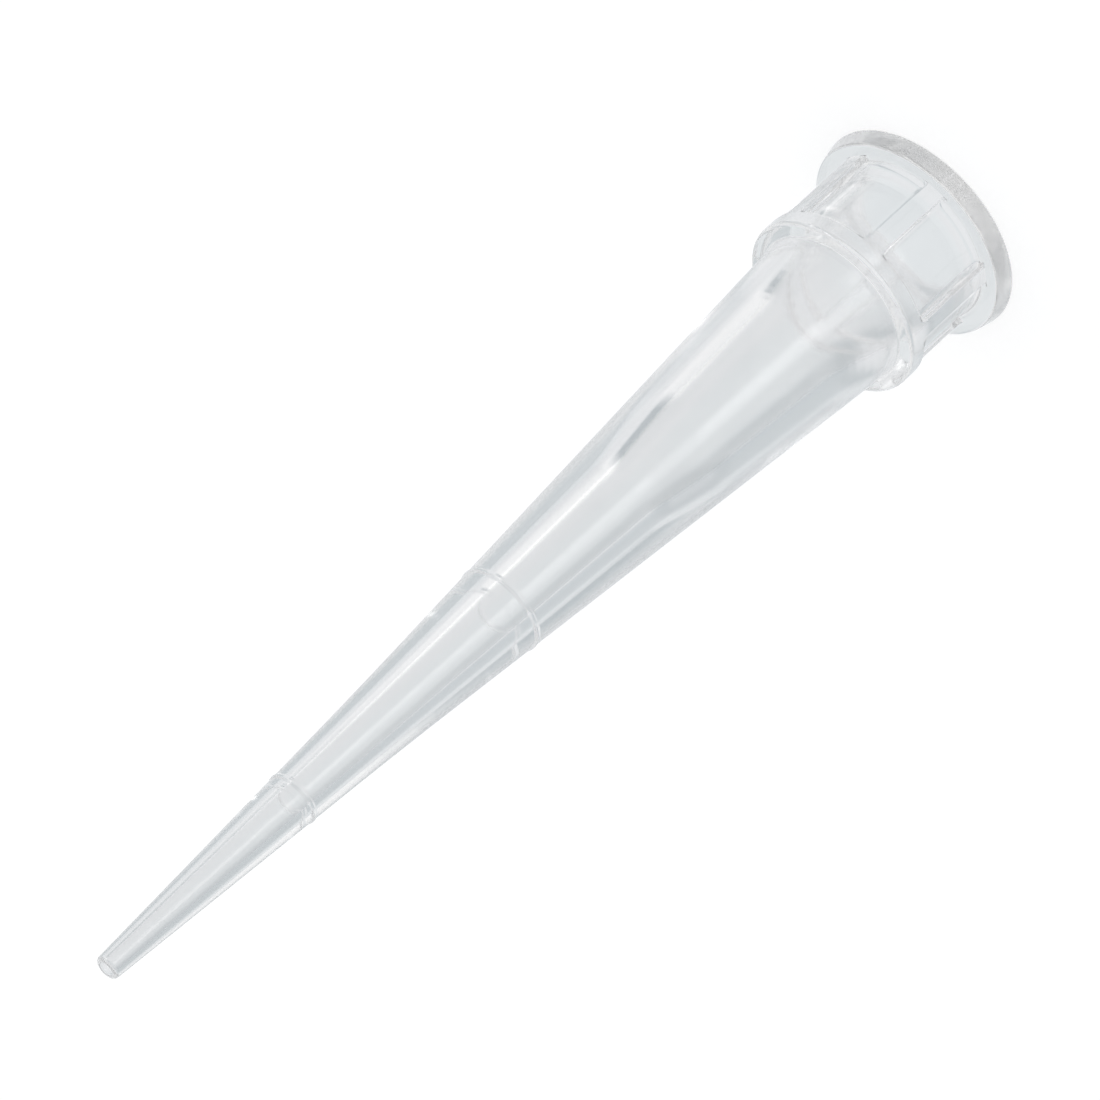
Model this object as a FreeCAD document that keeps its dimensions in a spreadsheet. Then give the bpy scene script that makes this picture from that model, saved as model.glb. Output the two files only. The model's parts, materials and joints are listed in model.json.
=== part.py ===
# Short clear pipette tip, moulded in one piece, for small-volume pipettes.
# The tip stands on its mouth: the origin is the centre of the mouth's face, and +Z
# runs along the axis to the drawn-out end.  All sizes are millimetres.
import FreeCAD
import Part
import Sketcher

import math
import os

# Driving dimensions.  A size "from_end" is measured back from the fine end, and a
# height or a depth is measured from the mouth's face.
SIZES = {
    # outside of the shaft: two tapers that meet at a soft bend
    "total_length": 34.0,
    "end_radius": 0.36,
    "end_rounding": 0.10,
    "bend_from_end": 10.7,
    "bend_radius": 0.99,
    "root_radius": 2.43,
    # collar round the mouth, whose shoulder hangs in the hole of a rack
    "collar_height": 4.0,
    "shoulder_width": 0.49,
    "shoulder_rounding": 0.12,
    "flange_overhang": 0.37,
    "flange_flare": 0.13,
    "flange_thickness": 0.57,
    "flange_bevel": 0.08,
    # windows sunk into the collar, which leave the ribs standing
    "rib_count": 6,
    "rib_width": 0.60,
    "window_depth": 0.28,
    "shoulder_band": 0.60,
    "window_rounding": 0.20,
    # bore, from the mouth to the fine end
    "mouth_radius": 2.30,
    "lead_in_depth": 0.80,
    "socket_radius": 2.00,
    "socket_depth": 3.0,
    "throat_radius": 1.45,
    "throat_depth": 4.9,
    "well_radius": 1.10,
    "well_from_end": 23.4,
    "neck_radius": 0.80,
    "neck_from_end": 21.0,
    "channel_radius": 0.53,
    "channel_from_end": 12.5,
    "orifice_radius": 0.21,
    # graduation beads round the shaft
    "low_mark_from_end": 7.2,
    "high_mark_from_end": 15.6,
    "bead_width": 0.10,
    "bead_height": 0.03,
}
CLOSE = 1e-4  # how near two lengths are when they count as the same

doc = FreeCAD.newDocument("PipetteTip")


def make_sheet():
    """Put each driving dimension in a cell of its own, under its own name."""
    cells = doc.addObject("Spreadsheet::Sheet", "Sizes")
    for row, (alias, value) in enumerate(SIZES.items(), start=1):
        cells.set(f"A{row}", alias)
        cells.set(f"B{row}", str(value))
        cells.setAlias(f"B{row}", alias)
    doc.recompute()
    return cells


def turned_section(name, corners):
    """Sketch a closed outline beside the axis, with each corner at (radius, height).

    Both are formulas on the sheet, and None puts the corner on the axis or on the
    mouth's face.  The corners start on a circle, and the solver moves them home.
    """
    sketch = body.newObject("Sketcher::SketchObject", name)
    plane = next(item for item in body.Origin.OriginFeatures if item.Role == "XZ_Plane")
    sketch.AttachmentSupport = [(plane, "")]
    sketch.MapMode = "FlatFace"
    count = len(corners)
    turns = [2 * math.pi * side / count for side in range(count)]
    start = [FreeCAD.Vector(math.cos(turn), math.sin(turn), 0) for turn in turns]
    for side in range(count):
        sketch.addGeometry(Part.LineSegment(start[side], start[(side + 1) % count]), False)
    for side in range(count):
        sketch.addConstraint(Sketcher.Constraint("Coincident", side, 2, (side + 1) % count, 1))
    for side, (radius, height) in enumerate(corners):
        for kind, axis, formula in (("DistanceX", -2, radius), ("DistanceY", -1, height)):
            if formula is None:
                sketch.addConstraint(Sketcher.Constraint("PointOnObject", side, 1, axis))
            else:
                row = sketch.addConstraint(Sketcher.Constraint(kind, -1, 1, side, 1, 1.0))
                sketch.setExpression(f"Constraints[{row}]", formula)
    doc.recompute()
    return sketch


def turn(kind, name, section):
    """Turn a section once round the axis, to add material or to cut it away."""
    feature = body.newObject(kind, name)
    feature.Profile = section
    feature.ReferenceAxis = (section, ["V_Axis"])
    feature.Angle = 360
    doc.recompute()
    return feature


def round_off(name, edges, size):
    """Round these edges of the body as it stands."""
    feature = body.newObject("PartDesign::Fillet", name)
    feature.Base = (feature.BaseFeature, edges)
    feature.setExpression("Radius", f"Sizes.{size}")
    doc.recompute()


def hoops(radius, height):
    """Name the body's circles and arcs round the axis with this radius and height."""
    names = []
    for number, edge in enumerate(body.Shape.Edges, start=1):
        if isinstance(edge.Curve, Part.Circle):
            miss = math.hypot(edge.Curve.Radius - radius, edge.Curve.Center.z - height)
            if miss < CLOSE:
                names.append(f"Edge{number}")
    return names


def edges_reaching(radius):
    """Name the body's edges that have an end at this distance from the axis."""
    names = []
    for number, edge in enumerate(body.Shape.Edges, start=1):
        reach = [math.hypot(vertex.Point.x, vertex.Point.y) for vertex in edge.Vertexes]
        if any(abs(length - radius) < CLOSE for length in reach):
            names.append(f"Edge{number}")
    return names


sizes = make_sheet()
body = doc.addObject("PartDesign::Body", "PipetteTip")
body.Label = "pipette_tip"

# Formulas and sizes that more than one feature needs.
COLLAR_RADIUS = "Sizes.root_radius + Sizes.shoulder_width"
WINDOW_TOP = "Sizes.collar_height - Sizes.shoulder_band"
collar_radius = sizes.root_radius + sizes.shoulder_width

# Outside, solid: flange, collar and shoulder, then the two tapers of the shaft.
outside = turned_section("OutsideSection", [
    (None, None),
    (f"{COLLAR_RADIUS} + Sizes.flange_overhang + Sizes.flange_flare", None),
    (f"{COLLAR_RADIUS} + Sizes.flange_overhang", "Sizes.flange_thickness"),
    (COLLAR_RADIUS, "Sizes.flange_thickness"),
    (COLLAR_RADIUS, "Sizes.collar_height"),
    ("Sizes.root_radius", "Sizes.collar_height"),
    ("Sizes.bend_radius", "Sizes.total_length - Sizes.bend_from_end"),
    ("Sizes.end_radius", "Sizes.total_length"),
    (None, "Sizes.total_length"),
])
turn("PartDesign::Revolution", "Outside", outside)
flange_edge = hoops(collar_radius + sizes.flange_overhang, sizes.flange_thickness)
bevel = body.newObject("PartDesign::Chamfer", "FlangeBevel")
bevel.Base = (bevel.BaseFeature, flange_edge)
bevel.setExpression("Size", "Sizes.flange_bevel")
doc.recompute()
round_off("ShoulderRounding", hoops(collar_radius, sizes.collar_height), "shoulder_rounding")
round_off("EndRounding", hoops(sizes.end_radius, sizes.total_length), "end_rounding")

# One window between two ribs, repeated round the collar.  It reaches from the flange
# to the band that backs the shoulder.
window = turned_section("WindowSection", [
    (f"{COLLAR_RADIUS} - Sizes.window_depth", "Sizes.flange_thickness"),
    (f"{COLLAR_RADIUS} + Sizes.flange_overhang", "Sizes.flange_thickness"),
    (f"{COLLAR_RADIUS} + Sizes.flange_overhang", WINDOW_TOP),
    (f"{COLLAR_RADIUS} - Sizes.window_depth", WINDOW_TOP),
])
first_window = turn("PartDesign::Groove", "FirstWindow", window)
first_window.Midplane = True
first_window.setExpression(
    "Angle", f"360 / Sizes.rib_count - 180 / pi * Sizes.rib_width / ({COLLAR_RADIUS})")
windows = body.newObject("PartDesign::PolarPattern", "Windows")
windows.Originals = [first_window]
windows.Axis = (window, ["V_Axis"])
windows.Angle = 360
windows.setExpression("Occurrences", "Sizes.rib_count")
body.Tip = windows
doc.recompute()

# The floor of each window runs into its sides, the flange and the band in a hollow round.
floor_edges = edges_reaching(collar_radius - sizes.window_depth)
round_off("WindowRounding", floor_edges, "window_rounding")

# Bore: lead-in and straight socket that the pipette's nose is pressed into, throat,
# wide well, steep neck, then the channel that narrows to the orifice.
bore = turned_section("BoreSection", [
    (None, None),
    ("Sizes.mouth_radius", None),
    ("Sizes.socket_radius", "Sizes.lead_in_depth"),
    ("Sizes.socket_radius", "Sizes.socket_depth"),
    ("Sizes.throat_radius", "Sizes.throat_depth"),
    ("Sizes.well_radius", "Sizes.total_length - Sizes.well_from_end"),
    ("Sizes.neck_radius", "Sizes.total_length - Sizes.neck_from_end"),
    ("Sizes.channel_radius", "Sizes.total_length - Sizes.channel_from_end"),
    ("Sizes.orifice_radius", "Sizes.total_length"),
    (None, "Sizes.total_length"),
])
turn("PartDesign::Groove", "Bore", bore)


def graduation(name, from_end, surface):
    """Add one fine raised bead round the shaft, rooted just under its surface."""
    middle = f"Sizes.total_length - Sizes.{from_end}"
    section = turned_section(f"{name}Section", [
        (f"{surface} - Sizes.bead_height", f"{middle} - Sizes.bead_width / 2"),
        (f"{surface} + Sizes.bead_height", f"{middle} - Sizes.bead_width / 4"),
        (f"{surface} + Sizes.bead_height", f"{middle} + Sizes.bead_width / 4"),
        (f"{surface} - Sizes.bead_height", f"{middle} + Sizes.bead_width / 2"),
    ])
    turn("PartDesign::Revolution", name, section)


graduation(
    "LowMark",
    "low_mark_from_end",
    "Sizes.end_radius + (Sizes.bend_radius - Sizes.end_radius)"
    " * Sizes.low_mark_from_end / Sizes.bend_from_end",
)
graduation(
    "HighMark",
    "high_mark_from_end",
    "Sizes.bend_radius + (Sizes.root_radius - Sizes.bend_radius)"
    " * (Sizes.high_mark_from_end - Sizes.bend_from_end)"
    " / (Sizes.total_length - Sizes.collar_height - Sizes.bend_from_end)",
)

# Nothing is written unless every feature worked and the tip is one sound solid.
for item in doc.Objects:
    if "Invalid" in item.State or "Error" in item.State:
        raise RuntimeError(f"{item.Label} failed: {item.State}")
tip = body.Shape
if tip.isNull() or not tip.isValid() or len(tip.Solids) != 1:
    raise RuntimeError("the tip isn't one sound solid")
print(f"{body.Label}: {tip.Volume:.2f} mm3, {len(tip.Faces)} faces")

os.makedirs("parts", exist_ok=True)
tip.exportStep(f"parts/{body.Label}.step")
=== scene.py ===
import json
import math

import bmesh
import bpy
from mathutils import Matrix, Vector


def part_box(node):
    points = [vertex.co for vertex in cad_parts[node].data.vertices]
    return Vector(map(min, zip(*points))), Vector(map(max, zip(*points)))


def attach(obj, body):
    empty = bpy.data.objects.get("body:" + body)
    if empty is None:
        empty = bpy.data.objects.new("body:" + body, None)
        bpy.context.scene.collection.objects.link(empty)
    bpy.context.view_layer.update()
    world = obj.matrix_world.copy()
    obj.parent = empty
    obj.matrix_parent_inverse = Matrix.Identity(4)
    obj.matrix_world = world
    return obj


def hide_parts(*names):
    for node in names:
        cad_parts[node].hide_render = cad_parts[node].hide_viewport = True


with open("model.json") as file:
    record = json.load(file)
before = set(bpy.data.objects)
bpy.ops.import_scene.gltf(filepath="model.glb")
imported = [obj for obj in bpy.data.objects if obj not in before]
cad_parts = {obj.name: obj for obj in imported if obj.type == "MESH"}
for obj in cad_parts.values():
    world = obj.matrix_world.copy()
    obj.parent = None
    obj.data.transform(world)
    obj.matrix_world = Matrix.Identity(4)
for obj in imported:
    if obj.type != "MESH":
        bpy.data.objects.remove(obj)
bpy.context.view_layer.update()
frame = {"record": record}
mm = 0.001  # metres in a millimetre; lengths below are millimetres
upright = Vector((0, 0, 1))


def addPiece(name, bm):
    mesh = bpy.data.meshes.new(name)
    bm.to_mesh(mesh)
    bm.free()
    piece = bpy.data.objects.new(name, mesh)
    bpy.context.scene.collection.objects.link(piece)
    return piece


def linearColour(hexValue):
    # an sRGB colour as the linear one that a shader takes
    parts = [int(hexValue[place:place + 2], 16) / 255 for place in (0, 2, 4)]
    linear = [part / 12.92 if part <= 0.04045 else ((part + 0.055) / 1.055) ** 2.4 for part in parts]
    return (*linear, 1)


def glowing(colour, strength):
    return [strength * part for part in linearColour(colour)[:3]] + [1]


def newMaterial(name):
    material = bpy.data.materials.new(name)
    material.use_nodes = True
    material.node_tree.nodes.clear()
    return material, material.node_tree


def addNode(tree, kind, settings=None, inputs=None):
    node = tree.nodes.new(kind)
    for name, value in (settings or {}).items():
        setattr(node, name, value)
    for name, value in (inputs or {}).items():
        if isinstance(value, bpy.types.NodeSocket):
            tree.links.new(value, node.inputs[name])
        else:
            node.inputs[name].default_value = value
    return node


def addMath(tree, operation, first, second=0.0):
    return addNode(tree, "ShaderNodeMath", {"operation": operation}, {0: first, 1: second}).outputs[0]


def addMix(tree, share, under, over):
    # a colour Mix has its factor at input 0, its two colours at 6 and 7, and its result at output 2
    return addNode(tree, "ShaderNodeMix", {"data_type": "RGBA"}, {0: share, 6: under, 7: over}).outputs[2]


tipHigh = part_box("pipette_tip")[1]
mounts = {mount["name"]: mount for mount in frame["record"]["mounts"]}

tip = {
    "length": tipHigh.z / mm,
    "mouthFlangeRadius": tipHigh.x / mm,
    "collarHeight": mounts["rack_shoulder"]["pos_m"][2] / mm,
    "socketRadius": mounts["socket"]["dims"]["r_mm"],
    # outside
    "endRadius": 0.36,
    "bendFromEnd": 10.7,
    "bendRadius": 0.99,
    "rootRadius": 2.43,
    "collarRadius": 2.92,
    "flangeFlare": 0.13,
    "flangeThickness": 0.57,
    # bore
    "mouthRadius": 2.30,
    "leadInDepth": 0.8,
    "socketDepth": 3.0,
    "throatRadius": 1.45,
    "throatDepth": 4.9,
    "wellRadius": 1.10,
    "wellFromEnd": 23.4,
    "neckRadius": 0.80,
    "neckFromEnd": 21.0,
    "channelRadius": 0.53,
    "channelFromEnd": 12.5,
    "orificeRadius": 0.21,
    # graduation beads: places from the end, width at the foot and height
    "marksFromEnd": (7.2, 15.6),
    "beadWidth": 0.18,
    "beadHeight": 0.03,
    # ribs and the windows between them
    "ribCount": 6,
    "ribWidth": 0.60,
    "windowDepth": 0.28,
    "shoulderBand": 0.60,
    # roundings, as the length that each takes off the sides of its corner
    "mouthRounding": 0.05,
    "flangeRounding": 0.08,
    "shoulderRounding": 0.12,
    "rootRounding": 0.06,
    "bendRounding": 1.0,
    "beadRounding": 0.022,
    "endRounding": 0.10,
    "orificeRounding": 0.045,
    "channelRounding": 1.0,
    "neckRounding": 0.4,
    "wellRounding": 0.4,
    "throatRounding": 1.2,
    "socketRounding": 0.6,
    "leadInRounding": 0.15,
    "windowRounding": 0.20,
    "ribRounding": 0.04,
    # mesh
    "turnSteps": 240,  # once round the axis
    "roundingSteps": 8,
    "sharpAngle": 40,
    "longRun": 0.2,  # a side of the outline past this length is held straight
    "holding": 0.02,  # how far from its ends it is held
    "closeRadius": 0.005,  # how near a point counts as on a radius
    "closeHeight": 0.01,  # how near it counts as at a height
    "mergeDistance": 0.002,
}


def shaftRadius(fromEnd):
    toBend = tip["bendFromEnd"]
    toRoot = tip["length"] - tip["collarHeight"]
    if fromEnd < toBend:
        share = fromEnd / toBend
        return tip["endRadius"] + share * (tip["bendRadius"] - tip["endRadius"])
    share = (fromEnd - toBend) / (toRoot - toBend)
    return tip["bendRadius"] + share * (tip["rootRadius"] - tip["bendRadius"])


def beadCorners(mark):
    # foot, top, top and foot: shares of the width from the middle, and of the height
    corners = []
    for side, lift in ((0.5, 0), (0.2, 1), (-0.2, 1), (-0.5, 0)):
        fromEnd = mark + side * tip["beadWidth"]
        radius = shaftRadius(fromEnd) + lift * tip["beadHeight"]
        corners.append((radius, tip["length"] - fromEnd, tip["beadRounding"]))
    return corners


def tipOutline():
    # corners (radius, height, rounding), up the outside and back down the bore
    top = tip["length"]
    collar = tip["collarRadius"]
    flange = tip["mouthFlangeRadius"]
    lowMark, highMark = tip["marksFromEnd"]
    return [
        (tip["mouthRadius"], 0, tip["mouthRounding"]),
        (flange, 0, tip["mouthRounding"]),
        (flange - tip["flangeFlare"], tip["flangeThickness"], tip["flangeRounding"]),
        (collar, tip["flangeThickness"], 0),
        (collar, tip["collarHeight"] - tip["shoulderBand"], 0),
        (collar, tip["collarHeight"], tip["shoulderRounding"]),
        (tip["rootRadius"], tip["collarHeight"], tip["rootRounding"]),
        *beadCorners(highMark),
        (tip["bendRadius"], top - tip["bendFromEnd"], tip["bendRounding"]),
        *beadCorners(lowMark),
        (tip["endRadius"], top, tip["endRounding"]),
        (tip["orificeRadius"], top, tip["orificeRounding"]),
        (tip["channelRadius"], top - tip["channelFromEnd"], tip["channelRounding"]),
        (tip["neckRadius"], top - tip["neckFromEnd"], tip["neckRounding"]),
        (tip["wellRadius"], top - tip["wellFromEnd"], tip["wellRounding"]),
        (tip["throatRadius"], tip["throatDepth"], tip["throatRounding"]),
        (tip["socketRadius"], tip["socketDepth"], tip["socketRounding"]),
        (tip["socketRadius"], tip["leadInDepth"], tip["leadInRounding"]),
    ]


def isAtRadius(vert, radius):
    return abs(math.hypot(vert.co.x, vert.co.y) - radius * mm) < tip["closeRadius"] * mm


def sharpEdges(bm):
    bm.normal_update()
    limit = math.radians(tip["sharpAngle"])
    return [edge for edge in bm.edges if len(edge.link_faces) == 2 and edge.calc_face_angle() > limit]


def roundOff(bm, parts, size, kind):
    bmesh.ops.bevel(bm, geom=parts, offset=size * mm, offset_type="OFFSET",
                    segments=tip["roundingSteps"], profile=0.5, affect=kind, material=-1)


def holdStraight(bm, edge, share):
    # a point close to each end of a long side keeps its shading straight between them
    start, end = edge.verts
    point = bmesh.utils.edge_split(edge, start, share)[1]
    rest = next(side for side in point.link_edges if end in side.verts)
    bmesh.utils.edge_split(rest, end, share / (1 - share))


def makeOutline(bm):
    corners = tipOutline()
    verts = [bm.verts.new((radius * mm, 0, height * mm)) for radius, height, _ in corners]
    for side in range(len(verts)):
        bm.edges.new((verts[side - 1], verts[side]))
    for vert, (_, _, rounding) in zip(verts, corners):
        if rounding:
            roundOff(bm, [vert], rounding, "VERTICES")
    for edge in list(bm.edges):
        length = edge.calc_length() / mm
        onCollar = all(isAtRadius(vert, tip["collarRadius"]) for vert in edge.verts)
        if onCollar and length > tip["shoulderBand"]:
            # beside the windows it is held past their roundings
            holdStraight(bm, edge, (tip["windowRounding"] + tip["holding"]) / length)
        elif length > tip["longRun"]:
            holdStraight(bm, edge, tip["holding"] / length)


def spinSector(bm, pitch, ribTurn, margin):
    # half a rib, a window with a margin at each side for its rounding, and half a rib
    step = 2 * math.pi / tip["turnSteps"]
    middleTurn = pitch - ribTurn - 2 * margin
    middle = (middleTurn, round(middleTurn / step))
    halfRib = (ribTurn / 2, round(ribTurn / 2 / step))
    bmesh.ops.rotate(bm, verts=bm.verts[:], cent=(0, 0, 0), matrix=Matrix.Rotation(-pitch / 2, 3, "Z"))
    seam = bm.verts[:] + bm.edges[:]
    for turn, steps in (halfRib, (margin, 1), middle, (margin, 1), halfRib):
        spun = bmesh.ops.spin(bm, geom=seam, cent=(0, 0, 0), axis=upright, angle=turn, steps=steps)
        seam = spun["geom_last"]


def sinkWindow(bm, windowTurn, floorRadius):
    bottom = tip["flangeThickness"] * mm
    top = (tip["collarHeight"] - tip["shoulderBand"]) * mm
    faces = []
    for face in bm.faces:
        centre = face.calc_center_median()
        onCollar = all(isAtRadius(vert, tip["collarRadius"]) for vert in face.verts)
        between = abs(math.atan2(centre.y, centre.x)) < windowTurn / 2
        if onCollar and between and bottom < centre.z < top:
            faces.append(face)
    sunk = bmesh.ops.extrude_face_region(bm, geom=faces)["geom"]
    bmesh.ops.delete(bm, geom=faces, context="FACES")
    inward = floorRadius / tip["collarRadius"]
    floor = [part for part in sunk if isinstance(part, bmesh.types.BMVert)]
    bmesh.ops.scale(bm, vec=(inward, inward, 1), verts=floor)
    bmesh.ops.recalc_face_normals(bm, faces=bm.faces[:])
    hollows = [edge for edge in sharpEdges(bm) if any(isAtRadius(vert, floorRadius) for vert in edge.verts)]
    roundOff(bm, hollows, tip["windowRounding"], "EDGES")

    # its rim is rounded along the ribs and the shoulder band, and stays sharp along the flange
    near = tip["closeHeight"] * mm
    rim = []
    for edge in sharpEdges(bm):
        onCollar = all(isAtRadius(vert, tip["collarRadius"]) for vert in edge.verts)
        onWindow = all(bottom - near < vert.co.z < top + near for vert in edge.verts)
        onFlange = all(vert.co.z < bottom + near for vert in edge.verts)
        if onCollar and onWindow and not onFlange:
            rim.append(edge)
    roundOff(bm, rim, tip["ribRounding"], "EDGES")


def makeTip():
    bm = bmesh.new()
    makeOutline(bm)
    pitch = 2 * math.pi / tip["ribCount"]
    ribTurn = tip["ribWidth"] / tip["collarRadius"]
    floorRadius = tip["collarRadius"] - tip["windowDepth"]
    margin = (tip["windowRounding"] + tip["holding"]) / floorRadius
    spinSector(bm, pitch, ribTurn, margin)
    sinkWindow(bm, pitch - ribTurn, floorRadius)

    # the same again round the collar
    bmesh.ops.spin(bm, geom=bm.verts[:] + bm.edges[:] + bm.faces[:], cent=(0, 0, 0), axis=upright,
                   angle=2 * math.pi - pitch, steps=tip["ribCount"] - 1, use_duplicate=True)
    bmesh.ops.remove_doubles(bm, verts=bm.verts[:], dist=tip["mergeDistance"] * mm)
    bmesh.ops.recalc_face_normals(bm, faces=bm.faces[:])
    openEdges = sum(not edge.is_manifold for edge in bm.edges)
    piece = addPiece("clearTip", bm)
    mesh = piece.data
    mesh.polygons.foreach_set("use_smooth", [True] * len(mesh.polygons))
    mesh.set_sharp_from_angle(angle=math.radians(tip["sharpAngle"]))
    print("clearTip:", len(mesh.vertices), "points,", len(mesh.polygons), "faces,", openEdges, "open edges")
    return piece


finish = {
    "tint": "f6f6f6",
    "roughness": 0.13,
    "ior": 1.49,
}


def makeClearPolypropylene():
    # injection-moulded polypropylene: see-through, with a soft gloss and a light haze from its roughness
    material, tree = newMaterial("clearPolypropylene")
    surface = addNode(tree, "ShaderNodeBsdfPrincipled", inputs={
        "Base Color": linearColour(finish["tint"]), "Roughness": finish["roughness"], "IOR": finish["ior"],
        "Transmission Weight": 1.0})
    addNode(tree, "ShaderNodeOutputMaterial", inputs={"Surface": surface.outputs["BSDF"]})
    return material


clearTip = makeTip()
clearTip.data.materials.append(makeClearPolypropylene())
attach(clearTip, "root")
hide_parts("pipette_tip")


lightTent = {
    "radius": 1500.0,
    "rings": 32,
    "cloth": ("e0e2e4", 1.15),
    "cards": {"white": "ffffff", "pale": "d8dcde", "mid": "c0c6c9", "dark": "a8b0b4"},
    # soft cards on the cloth, each laid over the ones before: azimuth, elevation, width, height and
    # soft edge in degrees, then the card's tone and its strength
    "panels": [
        (0, 90, 130, 130, 40, "white", 1.0),
        (130, -24, 70, 10, 5, "mid", 1.1),
        (120, -35, 60, 12, 5, "mid", 1.2),
        (8, -20, 30, 8, 4, "dark", 1.1),
        (50, -38, 60, 4, 3, "dark", 1.2),
        (20, -35, 30, 5, 3, "dark", 1.2),
        (15, -31, 44, 6, 3, "white", 1.1),
        (85, -31, 25, 10, 5, "pale", 1.2),
        (-20, -30, 40, 8, 5, "white", 1.5),
        (-95, -25, 110, 15, 8, "white", 1.2),
        (-110, -23, 20, 12, 5, "white", 3.0),
    ],
}


def addPanel(tree, direction, below, panel):
    azimuth, elevation, width, height, edge, card, strength = panel
    facing = addNode(tree, "ShaderNodeMapping", {"vector_type": "TEXTURE"}, {
        "Vector": direction, "Rotation": (0, math.radians(-elevation), math.radians(azimuth))})
    place = addNode(tree, "ShaderNodeSeparateXYZ", inputs={"Vector": facing.outputs["Vector"]})
    cover = addMath(tree, "GREATER_THAN", place.outputs["X"])  # leaves out the far half of the tent
    for axis, span in (("Y", width), ("Z", height)):
        away = addMath(tree, "ABSOLUTE", place.outputs[axis])
        inner = math.sin(math.radians((span - edge) / 2))
        outer = math.sin(math.radians((span + edge) / 2))
        fade = addNode(tree, "ShaderNodeMapRange", {"interpolation_type": "SMOOTHSTEP"}, {
            "Value": away, "From Min": inner, "From Max": outer, "To Min": 1.0, "To Max": 0.0})
        cover = addMath(tree, "MULTIPLY", cover, fade.outputs["Result"])
    return addMix(tree, cover, below, glowing(lightTent["cards"][card], strength))


def makeTent():
    # a tent of pale cloth with white and grey cards stands round the tip, and the camera looks past it
    bm = bmesh.new()
    bmesh.ops.create_uvsphere(bm, u_segments=2 * lightTent["rings"], v_segments=lightTent["rings"],
                              radius=lightTent["radius"] * mm)
    bmesh.ops.reverse_faces(bm, faces=bm.faces[:])
    tent = addPiece("lightTent", bm)
    material, tree = newMaterial("litTentCloth")
    place = addNode(tree, "ShaderNodeTexCoord").outputs["Object"]
    outward = addNode(tree, "ShaderNodeVectorMath", {"operation": "NORMALIZE"}, {0: place})
    light = glowing(*lightTent["cloth"])
    for panel in lightTent["panels"]:
        light = addPanel(tree, outward.outputs["Vector"], light, panel)
    glow = addNode(tree, "ShaderNodeEmission", inputs={"Color": light, "Strength": 1.0})
    addNode(tree, "ShaderNodeOutputMaterial", inputs={"Surface": glow.outputs["Emission"]})
    material.cycles.emission_sampling = "NONE"  # it isn't aimed at as a lamp: rays find it by reaching it
    tent.data.materials.append(material)
    tent.visible_camera = False
    tent.visible_diffuse = False
    tent.visible_shadow = False
    print("tent:", len(lightTent["panels"]), "panels")


backdrop = {
    "level": ("e4e6e8", 1.15),
}


def makeBackdrop():
    # white to the camera and to what mirrors or lets through, and a plain level of light for the rest
    world = bpy.data.worlds.new("backdrop")
    world.use_nodes = True
    bpy.context.scene.world = world
    tree = world.node_tree
    tree.nodes.clear()
    path = addNode(tree, "ShaderNodeLightPath")
    seen = path.outputs["Is Camera Ray"]
    for kind in ("Is Glossy Ray", "Is Transmission Ray"):
        seen = addMath(tree, "MAXIMUM", seen, path.outputs[kind])
    light = addMix(tree, seen, glowing(*backdrop["level"]), (1, 1, 1, 1))
    glow = addNode(tree, "ShaderNodeBackground", inputs={"Color": light, "Strength": 1.0})
    addNode(tree, "ShaderNodeOutputWorld", inputs={"Surface": glow.outputs["Background"]})
    print("backdrop: made")


paperFloor = {
    "size": 4000.0,
    "colour": "a0a0a0",
    "glow": 0.72,
}


def makeFloor():
    bm = bmesh.new()
    bmesh.ops.create_grid(bm, x_segments=1, y_segments=1, size=paperFloor["size"] / 2 * mm)
    floor = addPiece("floor", bm)
    material, tree = newMaterial("matWhitePaper")
    paper = addNode(tree, "ShaderNodeBsdfDiffuse", inputs={"Color": linearColour(paperFloor["colour"])})
    path = addNode(tree, "ShaderNodeLightPath")
    seen = addMath(tree, "MULTIPLY", path.outputs["Is Camera Ray"], paperFloor["glow"])
    glow = addNode(tree, "ShaderNodeEmission", inputs={"Color": (1, 1, 1, 1), "Strength": seen})
    both = addNode(tree, "ShaderNodeAddShader", inputs={0: paper.outputs[0], 1: glow.outputs[0]})
    addNode(tree, "ShaderNodeOutputMaterial", inputs={"Surface": both.outputs[0]})
    floor.data.materials.append(material)
    floor.visible_glossy = False  # the clear tip shows the tent round it instead of the paper
    floor.visible_transmission = False
    print("floor: made")


camera = {
    "azimuth": -99.5,  # round the tip from +X, chosen so that the ribs stand where they should
    "elevation": 29.1,
    "roll": -132.3,
    "fieldOfView": 10.83,
    "distance": 158.35,
    "aimHeight": 15.98,
    "aimAside": 0.29,
    "clipRange": (1.0, 10000.0),
}


def makeCamera():
    bearing, rise = math.radians(camera["azimuth"]), math.radians(camera["elevation"])
    back = Vector((math.cos(rise) * math.cos(bearing), math.cos(rise) * math.sin(bearing), math.sin(rise)))
    right = upright.cross(back).normalized()
    unrolled = Matrix((right, back.cross(right), back)).transposed()
    data = bpy.data.cameras.new("camera")
    data.angle = math.radians(camera["fieldOfView"])
    data.clip_start, data.clip_end = (reach * mm for reach in camera["clipRange"])
    eye = bpy.data.objects.new("camera", data)
    bpy.context.scene.collection.objects.link(eye)
    aim = upright * camera["aimHeight"] + right * camera["aimAside"]
    turn = unrolled @ Matrix.Rotation(math.radians(camera["roll"]), 3, "Z")
    eye.matrix_world = Matrix.Translation((aim + back * camera["distance"]) * mm) @ turn.to_4x4()
    bpy.context.scene.camera = eye
    print("camera: made")


rendering = {
    "bounces": 40,  # light crosses many thin walls of the tip
}


def setRendering():
    cycles = bpy.context.scene.cycles
    cycles.max_bounces = rendering["bounces"]
    cycles.transmission_bounces = rendering["bounces"]
    cycles.glossy_bounces = rendering["bounces"]
    bpy.context.scene.view_settings.view_transform = "Standard"
    print("rendering: set")


makeTent()
makeBackdrop()
makeFloor()
makeCamera()
setRendering()
